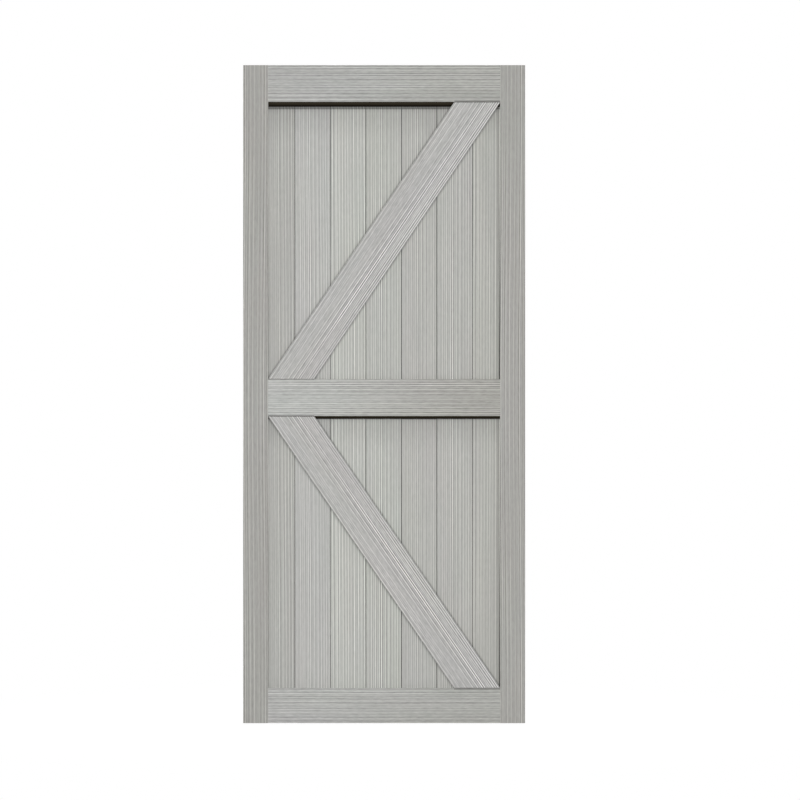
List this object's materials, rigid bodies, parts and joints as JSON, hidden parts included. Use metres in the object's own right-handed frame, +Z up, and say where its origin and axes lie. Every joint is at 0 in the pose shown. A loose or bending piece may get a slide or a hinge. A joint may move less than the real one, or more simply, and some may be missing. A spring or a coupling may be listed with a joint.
{
  "type": "barn door",
  "caption": "Sliding barn door leaf: grooved frame, V-jointed board panels and diagonal braces that meet at the middle rail, in grey wood-grain finish.",
  "frame": {"origin": "middle of the door's top edge, halfway through its thickness", "axes": "+X to the right seen from the front, +Y towards the back, +Z up out of the top edge"},
  "size_m": [0.9144, 0.035, 2.1336],
  "materials": {
    "frame": "matt grey wood-grain film",
    "boards": "matt grey wood-grain film",
    "braces": "matt grey wood-grain film"
  },
  "bodies": {
    "root": {"left_stile": "frame", "right_stile": "frame", "top_rail": "frame", "middle_rail": "frame", "bottom_rail": "frame", "upper_board_1": "boards", "upper_board_2": "boards", "upper_board_3": "boards", "upper_board_4": "boards", "upper_board_5": "boards", "upper_board_6": "boards", "upper_board_7": "boards", "lower_board_1": "boards", "lower_board_2": "boards", "lower_board_3": "boards", "lower_board_4": "boards", "lower_board_5": "boards", "lower_board_6": "boards", "lower_board_7": "boards", "front_upper_brace": "braces", "front_lower_brace": "braces", "back_upper_brace": "braces", "back_lower_brace": "braces"}
  },
  "joints": []
}
